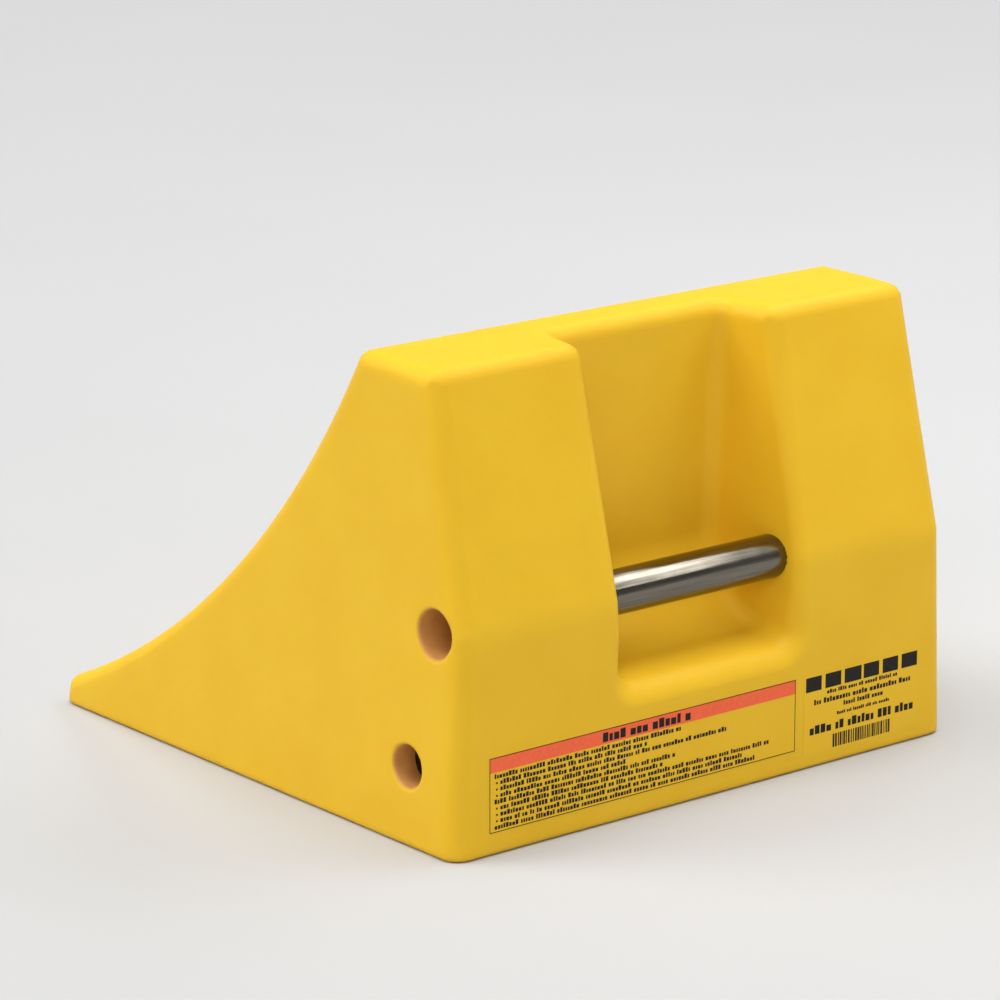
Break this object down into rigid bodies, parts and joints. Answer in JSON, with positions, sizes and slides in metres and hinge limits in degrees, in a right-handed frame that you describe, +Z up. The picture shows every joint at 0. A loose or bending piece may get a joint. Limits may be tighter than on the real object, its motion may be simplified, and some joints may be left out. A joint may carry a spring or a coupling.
{
  "type": "wheel chock",
  "caption": "Heavy moulded wedge with a hollow curved tread, raised grip ribs, a rear hand pocket and a round steel carrying bar.",
  "frame": {"origin": "on the ground, in the middle of the footprint", "axes": "+X across the chock along its steel bars, -Y towards the toe that goes under the tyre, +Y towards the upright back with the hand pocket, +Z up"},
  "size_m": [0.3678, 0.3742, 0.265],
  "materials": {
    "urethane": "satin cast polyurethane, safety yellow",
    "polished_steel": "drawn round bar, polished",
    "aged_steel": "cut bar end, dull and dark",
    "warning_film": "thin printed film",
    "id_film": "thin clear film with dark print"
  },
  "bodies": {
    "root": {"chock_body": "urethane", "handle_bar": "polished_steel", "tie_bar": "aged_steel", "warning_label": "warning_film", "id_label": "id_film"}
  },
  "joints": []
}
